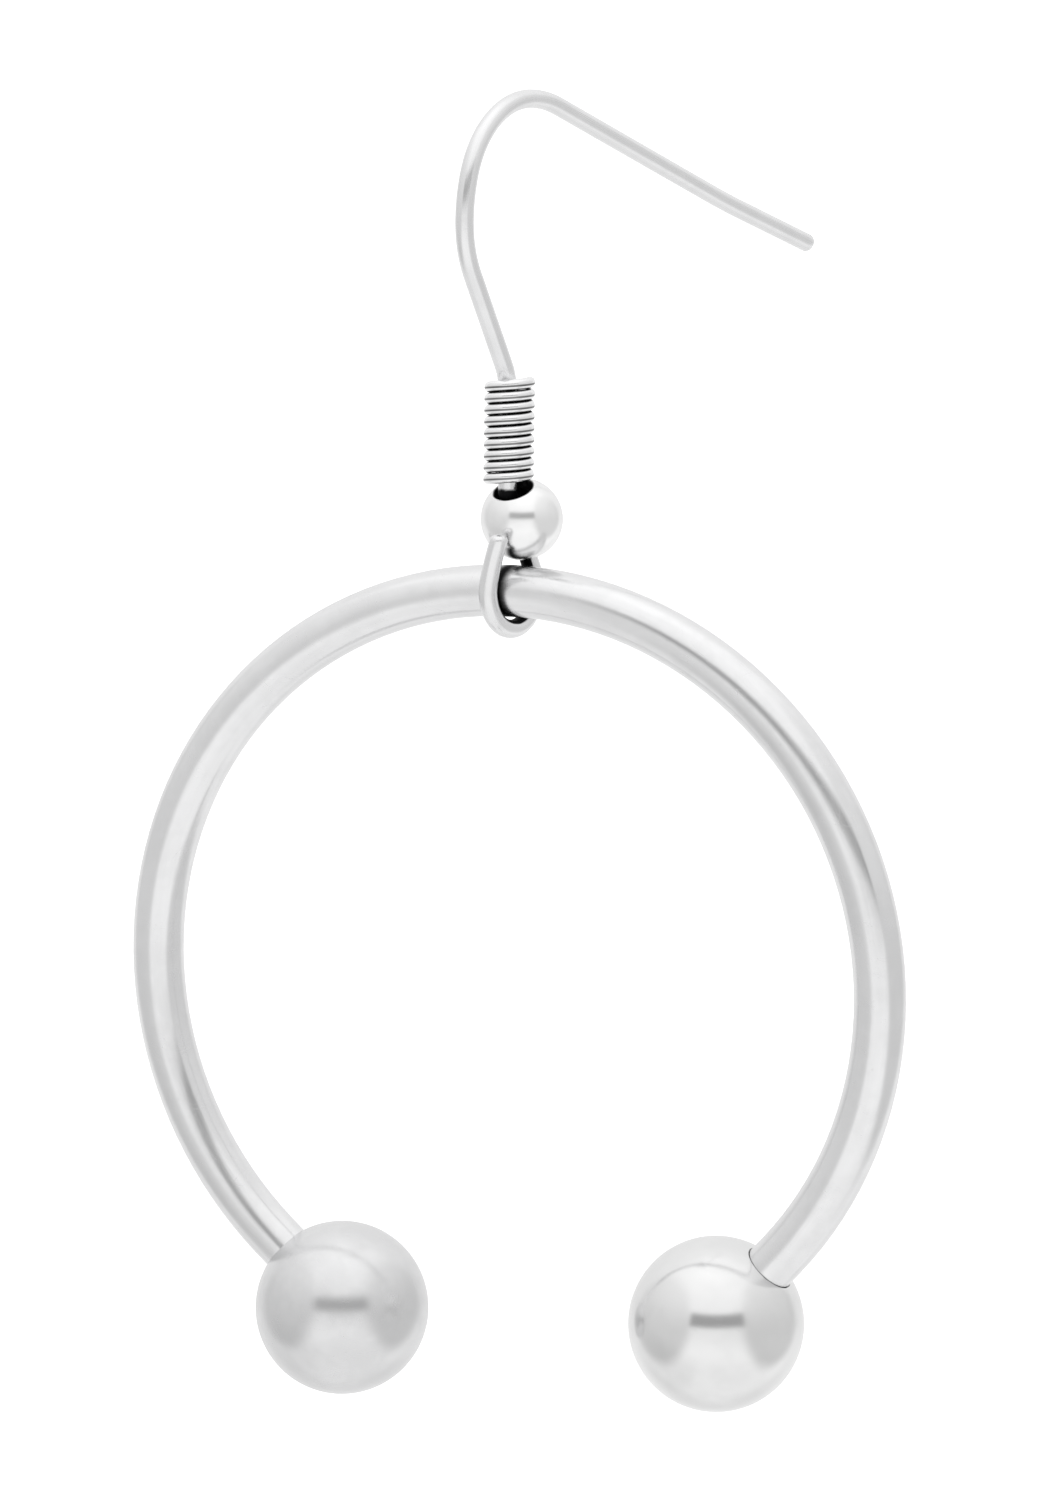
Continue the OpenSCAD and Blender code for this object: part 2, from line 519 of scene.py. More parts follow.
class Wiring:
    """Adds nodes to a tree and links them."""

    # Places of a Mix node's colour sockets. Its number and vector sockets have the same names.
    MIX_INPUTS = (0, 6, 7)
    MIX_OUTPUT = 2

    def __init__(self, tree: bpy.types.NodeTree) -> None:
        """Takes the tree that the nodes go in."""
        self.tree = tree

    def feed(self, socket: Socket, source: Source) -> None:
        """Links a source to an input, or sets the input to it.

        Args:
            socket: The input.
            source: The source.
        """
        if isinstance(source, Socket):
            self.tree.links.new(source, socket)
        else:
            socket.default_value = source

    def node(self, kind: str, inputs: dict[str, Source]) -> bpy.types.Node:
        """Adds a node.

        Args:
            kind: The shader node's kind.
            inputs: Sources for its inputs, by name.

        Returns:
            The node.
        """
        node = self.tree.nodes.new(f"ShaderNode{kind}")
        for name, source in inputs.items():
            self.feed(node.inputs[name], source)
        return node

    def math(self, operation: str, *values: Source, kind: str = "Math", output: str = "Value") -> Socket:
        """Adds a node that works out one operation.

        Args:
            operation: The operation.
            values: Sources for its inputs, in order.
            kind: The node's kind.
            output: Name of the output that is used.

        Returns:
            The output.
        """
        node = self.node(kind, {})
        node.operation = operation
        for socket, value in zip(node.inputs, values):
            self.feed(socket, value)
        return node.outputs[output]

    def vector(self, operation: str, *values: Source) -> Socket:
        """Adds a Vector Math node with these inputs and returns its output."""
        output = "Value" if operation == "LENGTH" else "Vector"
        return self.math(operation, *values, kind="VectorMath", output=output)

    def blend(self, first: Source, second: Source, share: float) -> Socket:
        """Blends two values, with this share of the second."""
        return self.math("MULTIPLY_ADD", second, share, self.math("MULTIPLY", first, 1.0 - share))

    def off(self, value: Source, middle: Source, half: float) -> Socket:
        """How far a value is from a middle, against half a width."""
        return self.math("DIVIDE", self.math("ABSOLUTE", self.math("SUBTRACT", value, middle)), half)

    def mix_colours(self, share: Source, first: Source, second: Source) -> Socket:
        """Mixes two colours.

        Args:
            share: Share of the second colour.
            first: The first colour.
            second: The second colour.

        Returns:
            The mixed colour's socket.
        """
        node = self.node("Mix", {})
        node.data_type = "RGBA"
        for index, source in zip(self.MIX_INPUTS, (share, first, second)):
            self.feed(node.inputs[index], source)
        return node.outputs[self.MIX_OUTPUT]

    def fade(
        self, value: Source, start: Source, end: Source, low: float = 0.0, high: float = 1.0
    ) -> Socket:
        """Fades smoothly from low to high while a value goes from start to end.

        Args:
            value: The value.
            start: Where the fade starts.
            end: Where the fade ends.
            low: The result before the start.
            high: The result past the end.

        Returns:
            The result's socket.
        """
        inputs = {"Value": value, "From Min": start, "From Max": end, "To Min": low, "To Max": high}
        node = self.node("MapRange", inputs)
        node.interpolation_type = "SMOOTHSTEP"
        return node.outputs["Result"]

    def soft_edge(self, reach: Source, soft: float) -> Socket:
        """Fades from 1 to 0 where a reach passes 1, over a width of soft."""
        return self.fade(reach, 1.0 + soft / 2.0, 1.0 - soft / 2.0)

    def mapping(self, vector: Source, **turn_and_scale: Source) -> Socket:
        """Turns a vector by Rotation and scales it by Scale."""
        return self.node("Mapping", {"Vector": vector, **turn_and_scale}).outputs["Vector"]

    def noise(self, vector: Source, scale: Source, detail: float) -> Socket:
        """Adds a Noise texture from 0 to 1, with detail as its number of octaves."""
        inputs = {"Vector": vector, "Scale": scale, "Detail": detail}
        return self.node("TexNoise", inputs).outputs["Fac"]


class Effect:
    """A shader node group that several materials share."""

    def __init__(self, name: str, vector: str, numbers: dict[str, float]) -> None:
        """Makes the group with its inputs and its one output.

        Args:
            name: The group's name, which is also that of its output.
            vector: Name of its vector input.
            numbers: Its number inputs with their defaults.
        """
        self.name = name
        self.tree = bpy.data.node_groups.new(name, "ShaderNodeTree")
        add = self.tree.interface.new_socket
        add(vector, in_out="INPUT", socket_type="NodeSocketVector")
        for label, default in numbers.items():
            add(label, in_out="INPUT", socket_type="NodeSocketFloat").default_value = default
        add(name, in_out="OUTPUT", socket_type="NodeSocketFloat")
        self.inside = Wiring(self.tree)
        self.given = self.tree.nodes.new("NodeGroupInput").outputs
        self.end = self.tree.nodes.new("NodeGroupOutput").inputs

    def put_out(self, value: Socket) -> None:
        """Makes a value the group's output."""
        self.inside.feed(self.end[self.name], value)

    def place(self, wiring: Wiring, inputs: dict[str, Source]) -> Socket:
        """Places the group in a material.

        Args:
            wiring: The material's nodes.
            inputs: Sources for the group's inputs, by name.

        Returns:
            The group's output.
        """
        node = wiring.node("Group", {})
        node.node_tree = self.tree
        for name, source in inputs.items():
            wiring.feed(node.inputs[name], source)
        return node.outputs[self.name]


class Haze(Effect):
    """Soft clouds that a polishing wheel leaves."""

    FINER = 4.3
    FINE_SHARE = 0.4
    CLEAR = 0.36
    CLOUDY = 0.64

    def __init__(self) -> None:
        """Blends wide and fine clouds."""
        super().__init__("Haze", "Vector", {"Scale": 1.0})
        inside, place, scale = self.inside, self.given["Vector"], self.given["Scale"]
        wide = inside.noise(place, scale, detail=2.0)
        fine = inside.noise(place, inside.math("MULTIPLY", scale, self.FINER), detail=3.0)
        self.put_out(inside.fade(inside.blend(wide, fine, self.FINE_SHARE), self.CLEAR, self.CLOUDY))


class Hairlines(Effect):
    """Fine broken scratches in two directions."""

    # The turn in radians and the width of each direction's scratches.
    TURNS_AND_WIDTHS = ((0.5, 0.006), (-0.9, 0.005))
    LEAN = 0.4
    STRETCH = (1.0, 0.05, 0.12)
    FINER = 6.0
    BREAK = 0.5
    WHOLE = 0.62

    def __init__(self) -> None:
        """Draws each direction where a stretched noise passes its middle value."""
        super().__init__("Hairlines", "Vector", {"Scale": 1.0})
        inside, place, scale = self.inside, self.given["Vector"], self.given["Scale"]
        lines = []
        for turn, width in self.TURNS_AND_WIDTHS:
            turned = inside.mapping(place, Rotation=(self.LEAN, turn, 2.0 * turn))
            long_way = inside.mapping(turned, Scale=self.STRETCH)
            noise = inside.noise(long_way, inside.math("MULTIPLY", scale, self.FINER), detail=1.0)
            off = inside.math("ABSOLUTE", inside.math("SUBTRACT", noise, 0.5))
            lines.append(inside.fade(off, width, 0.0))
        broken = inside.fade(inside.noise(place, scale, detail=2.0), self.BREAK, self.WHOLE)
        self.put_out(inside.math("MULTIPLY", inside.math("MAXIMUM", *lines), broken))


class DrawnLines(Effect):
    """Lines along a wire, from its place along the wire and round the section."""

    BROAD = (0.05, 1.0, 1.0)
    FINE = (0.16, 3.1, 3.1)
    FINE_SHARE = 0.45
    LOW = 0.34
    HIGH = 0.66

    def __init__(self) -> None:
        """Blends broad and fine lines."""
        super().__init__("Drawn Lines", "Path", {"Fineness": 1.0})
        inside, path, fineness = self.inside, self.given["Path"], self.given["Fineness"]
        broad = inside.noise(inside.mapping(path, Scale=self.BROAD), fineness, detail=2.0)
        fine = inside.noise(inside.mapping(path, Scale=self.FINE), fineness, detail=2.0)
        self.put_out(inside.fade(inside.blend(broad, fine, self.FINE_SHARE), self.LOW, self.HIGH))


class Specks(Effect):
    """Sparse tiny pits."""

    RARE = 0.8
    RARE_SOFT = 0.02
    LEAST_SIZE = 0.03
    SIZE_SPREAD = 0.08

    def __init__(self) -> None:
        """Puts a pit of its own size in a few cells."""
        super().__init__("Specks", "Vector", {"Scale": 1.0})
        inside = self.inside
        cells = inside.node("TexVoronoi", {"Vector": self.given["Vector"], "Scale": self.given["Scale"]})
        pick = inside.node("SeparateColor", {"Color": cells.outputs["Color"]}).outputs
        size = inside.math("MULTIPLY_ADD", pick["Green"], self.SIZE_SPREAD, self.LEAST_SIZE)
        dot = inside.fade(cells.outputs["Distance"], size, 0.0)
        chosen = inside.fade(pick["Red"], self.RARE, self.RARE + self.RARE_SOFT)
        self.put_out(inside.math("MULTIPLY", dot, chosen))


class RaggedEdge(Effect):
    """A mask inside a reach of 1, with a ragged edge."""

    def __init__(self) -> None:
        """Shifts the reach by noise and fades it out."""
        numbers = {"Reach": 2.0, "Ragged": 0.2, "Soft": 0.3, "Scale": 3.0}
        # The group's mask marks where shade is painted.
        super().__init__("PaintedShade", "Vector", numbers)
        inside, given = self.inside, self.given
        noise = inside.noise(given["Vector"], given["Scale"], detail=3.0)
        shift = inside.math("MULTIPLY", inside.math("SUBTRACT", noise, 0.5), given["Ragged"])
        reach = inside.math("MULTIPLY_ADD", shift, 2.0, given["Reach"])
        half = inside.math("MULTIPLY", given["Soft"], 0.5)
        start = inside.math("ADD", 1.0, half)
        self.put_out(inside.fade(reach, start, inside.math("SUBTRACT", 1.0, half)))


class SteelEffects:
    """The effects that the steel finishes share, each built once."""

    def __init__(self) -> None:
        """Builds every group."""
        self.haze = Haze()
        self.hairlines = Hairlines()
        self.drawn_lines = DrawnLines()
        self.specks = Specks()
        self.ragged_edge = RaggedEdge()


class Surface:
    """Sockets that say where a point of a piece's surface lies.

    place is the point in millimetres and path its wire path attribute. The parts of the
    path are along, in millimetres of wire or turns of a coil, and across and up, round the
    wire's section and against its radius.
    """

    def __init__(self, wiring: Wiring) -> None:
        """Adds the sockets to a material.

        Args:
            wiring: The material's nodes.
        """
        self.wiring = wiring
        self.place = wiring.mapping(wiring.node("TexCoord", {}).outputs["Object"], Scale=(1.0 / MM,) * 3)
        attribute = wiring.node("Attribute", {})
        attribute.attribute_name = PATH_NAME
        self.path = attribute.outputs["Vector"]
        parts = wiring.node("SeparateXYZ", {"Vector": self.path}).outputs
        self.along, self.across, self.up = parts["X"], parts["Y"], parts["Z"]


@dataclass(frozen=True, kw_only=True)
class PaintedShade:
    """Painted shade, a near-black colour, where a reach is below 1.

    Attributes:
        ragged: How ragged its edge is.
        soft: Width of its edge, as a share of its reach.
    """

    ragged: float
    soft: float

    def reach(self, spot: Surface) -> Socket:
        """The reach at a point of the surface."""
        raise NotImplementedError


@dataclass(frozen=True)
class PaintedShadeBore(PaintedShade):
    """Painted shade in a drilled hole and on its rim.

    Attributes:
        centre: A point on the hole's axis, in millimetres.
        axis: Direction of the axis.
        radius: How far from the axis it reaches, in millimetres.
    """

    centre: tuple[float, float, float]
    axis: tuple[float, float, float]
    radius: float

    def reach(self, spot: Surface) -> Socket:
        """Distance from the hole's axis against the radius.

        Args:
            spot: The surface.

        Returns:
            A socket that is below 1 inside the hole.
        """
        off = spot.wiring.vector("SUBTRACT", spot.place, self.centre)
        off = spot.wiring.vector("LENGTH", spot.wiring.vector("CROSS_PRODUCT", off, self.axis))
        return spot.wiring.math("DIVIDE", off, self.radius)


@dataclass(frozen=True)
class PaintedShadeBand(PaintedShade):
    """Painted shade on a stretch of wire.

    Attributes:
        along: Middle of the stretch, in millimetres of wire.
        half_width: Half of its length, in millimetres.
        skew: How far its middle moves along the wire from the section's middle to its back.
    """

    along: float
    half_width: float
    skew: float = 0.0

    def reach(self, spot: Surface) -> Socket:
        """Distance along the wire from the band's middle against its half width."""
        middle = spot.wiring.math("MULTIPLY_ADD", spot.up, self.skew, self.along)
        return spot.wiring.off(spot.along, middle, self.half_width)


@dataclass(frozen=True)
class PaintedShadeInside(PaintedShade):
    """Painted shade on the inner side of a bend.

    Attributes:
        along: Middle of the stretch, in millimetres of wire.
        half_width: Half of its length, in millimetres.
        depth: How far out it reaches from the section's inner side, against the radius.
    """

    along: float
    half_width: float
    depth: float

    def reach(self, spot: Surface) -> Socket:
        """The larger of the reach along the wire and the reach round its section."""
        out = spot.wiring.math("DIVIDE", spot.wiring.math("ADD", spot.across, 1.0), self.depth)
        return spot.wiring.math("MAXIMUM", spot.wiring.off(spot.along, self.along, self.half_width), out)


@dataclass(frozen=True)
class PaintedShadeGroove(PaintedShade):
    """Painted shade in the grooves between a coil's turns.

    The lower side of the first turn and the upper side of the last one get no painted shade.

    Attributes:
        outer_share: How far out on the section it reaches, against the wire's radius.
        turns: The coil's number of turns.
    """

    outer_share: float
    turns: float

    SIDE_SOFT = 0.2
    TURN_SOFT = 0.05

    def reach(self, spot: Surface) -> Socket:
        """How far out on the section a point lies against the groove's reach.

        Args:
            spot: The surface.

        Returns:
            A socket that is below 1 inside the groove.
        """
        wiring = spot.wiring
        reach = wiring.math("DIVIDE", wiring.math("ADD", spot.across, 1.0), 1.0 + self.outer_share)
        for turn, sign in ((self.turns - 1.0, 1.0), (1.0, -1.0)):
            side = wiring.fade(spot.up, -sign * self.SIDE_SOFT, sign * self.SIDE_SOFT)
            soft = sign * self.TURN_SOFT
            end = wiring.fade(spot.along, turn - soft, turn + soft)
            reach = wiring.math("MULTIPLY_ADD", side, end, reach)
        return reach


@dataclass(frozen=True)
class CrestShade:
    """A dark line painted along the crest of a coil's turns, a painted dark reflection, with added
    roughness.

    Attributes:
        height: Middle of the scuffed line, against the wire's radius.
        half_width: Half of its width, against the wire's radius.
        tone: What it leaves of the steel's tone.
        gloss: What it adds to the roughness.
    """

    height: float
    half_width: float
    tone: float
    gloss: float

    CORE = 0.4
    OUTER_FROM = 0.2
    OUTER_FULL = 0.6
    LEAST = 0.7

    def mask(self, spot: Surface, lines: Source) -> Socket:
        """Where the dark reflection is painted on the crest.

        Args:
            spot: The surface.
            lines: The drawn lines, which break the painted line up.

        Returns:
            The mask.
        """
        wiring = spot.wiring
        inside = wiring.fade(wiring.off(spot.up, self.height, self.half_width), 1.0, self.CORE)
        outer = wiring.fade(spot.across, self.OUTER_FROM, self.OUTER_FULL)
        broken = wiring.math("MULTIPLY_ADD", lines, 1.0 - self.LEAST, self.LEAST)
        return wiring.math("MULTIPLY", wiring.math("MULTIPLY", inside, outer), broken)


@dataclass(frozen=True)
class SteelFinish:
    """How a steel surface is finished.

    Attributes:
        name: Name of the material.
        tone: Colour of the reflection.
        gloss: Roughness of the clean surface.
        haze: What the polishing clouds add to the roughness.
        haze_scale: Clouds per millimetre.
        hairlines: What the scratches add to the roughness.
        lines: What the drawn lines add to the roughness.
        line_depth: Depth of the drawn lines, in millimetres.
        painted_shades: Where shade is painted in near-black.
        crest: The painted dark reflection along the crest, on a coil.
    """

    name: str
    tone: tuple[float, float, float]
    gloss: float
    haze: float = 0.03
    haze_scale: float = 0.5
    hairlines: float = 0.12
    lines: float = 0.0
    line_depth: float = 0.0
    painted_shades: tuple[PaintedShade, ...] = ()
    crest: CrestShade | None = None

    FINENESS = 5.0
    HAIRLINE_SCALE = 0.9
    SPECK_SCALE = 2.2
    SCRATCH_DEPTH = 0.0004
    HAZE_TONE = 0.97
    SPECK_TONE = 0.85
    # Near-black colour of the painted shade and the roughness that it adds.
    PAINTED_SHADE_TONE = (0.012, 0.012, 0.013, 1.0)
    PAINTED_SHADE_GLOSS = 0.35

    def material(self, effects: SteelEffects) -> bpy.types.Material:
        """Makes the material.

        Args:
            effects: The shared effects.

        Returns:
            The material.
        """
        steel = bpy.data.materials.new(self.name)
        steel.use_nodes = True
        wiring = Wiring(steel.node_tree)
        shader = steel.node_tree.nodes["Principled BSDF"].inputs
        shader["Metallic"].default_value = 1.0
        spot = Surface(wiring)
        haze = effects.haze.place(wiring, {"Vector": spot.place, "Scale": self.haze_scale})
        scratch = effects.hairlines.place(wiring, {"Vector": spot.place, "Scale": self.HAIRLINE_SCALE})
        speck = effects.specks.place(wiring, {"Vector": spot.place, "Scale": self.SPECK_SCALE})
        rough = [(haze, self.haze), (scratch, self.hairlines)]
        tones = [(haze, self.HAZE_TONE), (speck, self.SPECK_TONE)]
        height = wiring.math("MULTIPLY", scratch, -self.SCRATCH_DEPTH)
        if self.lines:
            line = effects.drawn_lines.place(wiring, {"Path": spot.path, "Fineness": self.FINENESS})
            rough.append((line, self.lines))
            height = wiring.math("MULTIPLY_ADD", line, self.line_depth, height)
            # A coil's crest gets a painted dark reflection and more roughness.
            if self.crest:
                crest_shade = self.crest.mask(spot, line)
                rough.append((crest_shade, self.crest.gloss))
                tones.append((crest_shade, self.crest.tone))
        colour = self.tone
        for mask, tone in tones:
            colour = wiring.vector("MULTIPLY", colour, wiring.fade(mask, 0.0, 1.0, 1.0, tone))
        # Painted shade: near-black colour mixed in where the masks say shade falls.
        if self.painted_shades:
            shade_mask = self._painted_shade_mask(effects, spot)
            rough.append((shade_mask, self.PAINTED_SHADE_GLOSS))
            colour = wiring.mix_colours(shade_mask, colour, self.PAINTED_SHADE_TONE)
        gloss = self.gloss
        for mask, more in rough:
            gloss = wiring.math("MULTIPLY_ADD", mask, more, gloss)
        bump = wiring.node("Bump", {"Height": height, "Distance": MM, "Strength": 1.0})
        wiring.feed(shader["Base Color"], colour)
        wiring.feed(shader["Roughness"], gloss)
        wiring.feed(shader["Normal"], bump.outputs["Normal"])
        return steel

    def _painted_shade_mask(self, effects: SteelEffects, spot: Surface) -> Socket:
        """Joins the masks of all painted shade.

        Args:
            effects: The shared effects.
            spot: The surface.

        Returns:
            The mask.
        """
        joined = 0.0
        for painted_shade in self.painted_shades:
            inputs = {"Vector": spot.place, "Reach": painted_shade.reach(spot)}
            inputs |= {"Ragged": painted_shade.ragged, "Soft": painted_shade.soft}
            mask = effects.ragged_edge.place(spot.wiring, inputs)
            joined = spot.wiring.math("MAXIMUM", joined, mask)
        return joined


def hand_over(piece: Piece, finish: bpy.types.Material, body: Body, node: str) -> None:
    """Gives a piece its finish and hands it to the body that it moves with.

    Args:
        piece: The finished piece.
        finish: Its material.
        body: The body that it rides on.
        node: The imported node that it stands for.
    """
    piece.data.materials.clear()
    piece.data.materials.append(finish)
    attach(piece, body.value)
    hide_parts(node)
    low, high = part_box(node)
    points = [vert.co for vert in piece.data.vertices]
    corners = ((min, low), (max, high))
    off = max(abs(end(p[i] for p in points) - corner[i]) for end, corner in corners for i in range(3))
    faces = len(piece.data.polygons)
    log.info("%s: %d faces, rides on %s, %.3f mm off its box", piece.name, faces, body.value, off / MM)


@dataclass
class EarWire:
    """The hook and the open eye, bent from one wire with two domed ends.

    Both tables start at the foot of the coil, one going up and one going down. Places in
    the wire's plane are measured from the middle of the bar where it hangs. Shade is
    painted on the wire bead_depth and eye_depth below the coil's foot, along the wire.
    """

    diameter: float = 0.7
    sides: int = 40
    plane_turn: float = 75.0
    tip_side: float = 0.5
    arm_curve: float = 1.4
    hook_dome: float = 0.45
    arm_dome: float = 0.75
    coil_foot: tuple[float, float] = (-0.26, 3.93)
    bar_drop: float = 0.115
    hook: tuple[Bend, ...] = (
        Bend(3.57, 28.5, 2.0),
        Bend(3.98, -28.5, 4.1),
        Bend(0.0, -18.0, 5.8),
        Bend(0.0, -72.0, 3.74),
        Bend(0.0, -3.5, 3.74),
        Bend(0.0, -18.5, 5.5),
        Bend(11.05, 2.2, 30.0),
        Bend(5.35),
    )
    rows_to_top: int = 4
    eye: tuple[Bend, ...] = (
        Bend(0.15, 27.4, 0.9),
        Bend(3.13, -27.4, 1.5),
        Bend(0.12, -90.0, 1.34),
        Bend(0.0, -90.0, 1.59),
        Bend(1.95),
    )
    bead_depth: float = 1.63
    eye_depth: float = 5.4

    def hang_point(self) -> Vector:
        """Underside of the top bend in plane coordinates, which is the model's origin."""
        top = Station(*self.coil_foot, 90.0).follow(self.hook[: self.rows_to_top])
        return Vector((top.across, 0.0, top.up - self.diameter / 2.0))

    def plane(self) -> Matrix:
        """From the wire's plane in millimetres to the model in metres."""
        turn = Matrix.Rotation(math.radians(self.plane_turn), 4, "Z")
        return Matrix.Scale(MM, 4) @ turn @ Matrix.Translation(-self.hang_point())

    def axes(self) -> Matrix:
        """The directions of the wire's plane in the model."""
        return self.plane().to_3x3().normalized()

    def bar_seat(self) -> Vector:
        """Middle of the bar where it hangs in the eye, in metres."""
        return self.plane().translation - UP * (self.bar_drop * MM)

    def foot_along(self) -> float:
        """Length of wire from the eye's free tip to the coil's foot, in millimetres."""
        return sum(row.length() for row in self.eye)

    def arm_side(self, along: float) -> float:
        """How far the eye's front arm lies out of the plane after a length of wire."""
        share = max(0.0, 1.0 - along / self.eye[-1].run)
        return -self.tip_side * share**self.arm_curve

    def build(self) -> Piece:
        """Bends the wire from the eye's free tip to the hook's tip.

        Returns:
            The ear wire.
        """
        tip = Station(*self.coil_foot, -90.0).follow(self.eye).turned_round()
        radius = self.diameter / 2.0
        sweep = WireSweep("bent_ear_wire", self.plane(), tip, radius, self.sides, self.arm_side)
        for row in reversed(self.eye):
            for part in row.backwards():
                sweep.draw(part)
        for row in self.hook:
            sweep.draw(row)
        sweep.end_tool().dome_over(self.hook_dome)
        sweep.start_tool().dome_over(self.arm_dome)
        return close_and_smooth(sweep.piece)

    def finish(self, effects: SteelEffects) -> bpy.types.Material:
        """Drawn steel with painted shade in the bead's hole and on the eye's inner side.

        Args:
            effects: The shared effects.

        Returns:
            The material.
        """
        foot = self.foot_along()
        # Painted shade where the wire sits in the bead's hole and on the eye's inner side.
        in_bead = PaintedShadeBand(foot - self.bead_depth, half_width=1.47, ragged=0.06, soft=0.08)
        in_eye = PaintedShadeInside(foot - self.eye_depth, half_width=4.0, depth=0.42, ragged=0.1, soft=0.3)
        return SteelFinish(
            "wire_steel",
            tone=(0.83, 0.83, 0.835),
            gloss=0.22,
            lines=0.06,
            line_depth=0.0005,
            painted_shades=(in_bead, in_eye),
        ).material(effects)

    def dress(self, effects: SteelEffects) -> None:
        """Builds the ear wire and gives it its finish."""
        hand_over(self.build(), self.finish(effects), Body.EAR_WIRE, "ear_wire")


@dataclass
class Coil:
    """The close winding above the bead, with its two cut ends.

    The axis is placed in the ear wire's plane.
    """

    ear_wire: EarWire
    diameter: float = 1.9
    wire: float = 0.42
    pitch: float = 0.434
    turns: float = 8.5
    foot: tuple[float, float, float] = (-0.18, -0.02, 4.11)
    lean: float = 1.0
    start: float = 120.0
    turn_tilt: float = 5.0
    turn_tilt_side: float = 37.0
    sides: int = 28
    steps_per_turn: int = 72
    cut_rise: float = 0.25
    cut_steps: int = 3

    def winding_r(self) -> float:
        """Radius of the winding's centreline, in millimetres."""
        return (self.diameter - self.wire) / 2.0

    def slope(self) -> float:
        """Slope of the winding, in radians."""
        return math.atan(self.pitch / (math.tau * self.winding_r()))

    def foot_point(self) -> Vector:
        """Foot of the coil's axis, in metres."""
        return self.ear_wire.plane() @ Vector(self.foot)

    def spin(self, angle: float) -> Matrix:
        """From the coil's own axes to the model, after an angle of winding in radians."""
        return Matrix.Rotation(angle + math.radians(self.start + self.ear_wire.plane_turn), 3, "Z")

    def wire_point(self, angle: float) -> Vector:
        """Middle of the coil's wire after an angle of winding in radians, in metres."""
        spoke = Vector((self.winding_r(), 0.0, self.pitch * angle / math.tau))
        return self.foot_point() + self.spin(angle) @ spoke * MM

    def build(self) -> Piece:
        """Winds the coil with a Screw modifier and rounds its cut ends.

        Returns:
            The coil.
        """
        tilt = self.spin(0.0) @ Matrix.Rotation(self.slope() - math.pi / 2.0, 3, "X")
        piece = add_ring("wound_coil", self.sides, self.wire / 2.0, self.wire_point(0.0), tilt)
        bpy.context.scene.cursor.location = self.foot_point()
        bpy.ops.object.origin_set(type="ORIGIN_CURSOR")
        screw = piece.modifiers.new("winding", "SCREW")
        screw.axis = "Z"
        screw.angle = math.tau * self.turns
        screw.screw_offset = self.pitch * self.turns * MM
        screw.steps = round(self.steps_per_turn * self.turns)
        screw.render_steps = screw.steps
        bpy.ops.object.modifier_apply(modifier=screw.name)
        bpy.ops.object.transform_apply()
        bpy.ops.object.mode_set(mode="EDIT")
        for at_top in (False, True):
            self._round_cut(piece, at_top)
        close_and_smooth(piece)
        self._mark_winding(piece)
        middle = self.foot_point() + UP * (self.pitch * self.turns / 2.0 * MM)
        self._tilt_turns(piece, middle)
        across = self.ear_wire.axes() @ Vector((1.0, 0.0, 0.0))
        lean = Matrix.Rotation(math.radians(self.lean), 4, across)
        piece.matrix_world = Matrix.Translation(middle) @ lean @ Matrix.Translation(-middle)
        select_only(piece)
        bpy.ops.object.transform_apply()
        return piece

    def _mark_winding(self, piece: Piece) -> None:
        """Writes each point's turn and its place round the wire's section.

        Args:
            piece: The coil, still upright.
        """
        foot = self.foot_point()
        own_axes = self.spin(0.0).transposed()
        layer = piece.data.attributes.new(PATH_NAME, "FLOAT_VECTOR", "POINT")
        for vert, mark in zip(piece.data.vertices, layer.data):
            spot = own_axes @ (vert.co - foot) / MM
            share = (math.atan2(spot.y, spot.x) / math.tau) % 1.0
            turn = share + round(spot.z / self.pitch - share)
            out = (math.hypot(spot.x, spot.y) - self.winding_r()) / (self.wire / 2.0)
            up = (spot.z - turn * self.pitch) / (self.wire / 2.0)
            mark.vector = (turn, out, up)

    def _tilt_turns(self, piece: Piece, middle: Vector) -> None:
        """Tilts every turn alike with a lattice, while the axis stays upright.

        Args:
            piece: The coil.
            middle: Middle of the coil, in metres.
        """
        side = math.radians(self.turn_tilt_side + self.ear_wire.plane_turn)
        bpy.ops.object.add(type="LATTICE", location=middle, rotation=(0.0, 0.0, side))
        lattice = bpy.context.object
        width = 2.0 * self.diameter * MM
        lattice.scale = (width, width, width * self.turns)
        for axis in "uvw":
            setattr(lattice.data, f"interpolation_type_{axis}", "KEY_LINEAR")
        for point in lattice.data.points:
            point.co_deform.z -= math.tan(math.radians(self.turn_tilt)) / self.turns * point.co.x
        bpy.context.view_layer.update()
        select_only(piece)
        tilt = piece.modifiers.new("turn_tilt", "LATTICE")
        tilt.object = lattice
        bpy.ops.object.modifier_apply(modifier=tilt.name)
        piece.select_set(False)
        lattice.select_set(True)
        bpy.ops.object.delete()

    def _round_cut(self, piece: Piece, at_top: bool) -> None:
        """Rounds one cut end of the coil over.

        Args:
            piece: The coil, in edit mode.
            at_top: True for the upper end.
        """
        angle = math.tau * self.turns if at_top else 0.0
        forward = self.spin(angle) @ Vector((0.0, math.cos(self.slope()), math.sin(self.slope())))
        middle = self.wire_point(angle)
        select_open_edges()
        keep_near(piece, middle, self.wire * MM)
        tool = RingTool(middle, forward if at_top else -forward, 0.0, self.wire / 2.0)
        tool.dome_over(self.cut_rise, self.cut_steps)

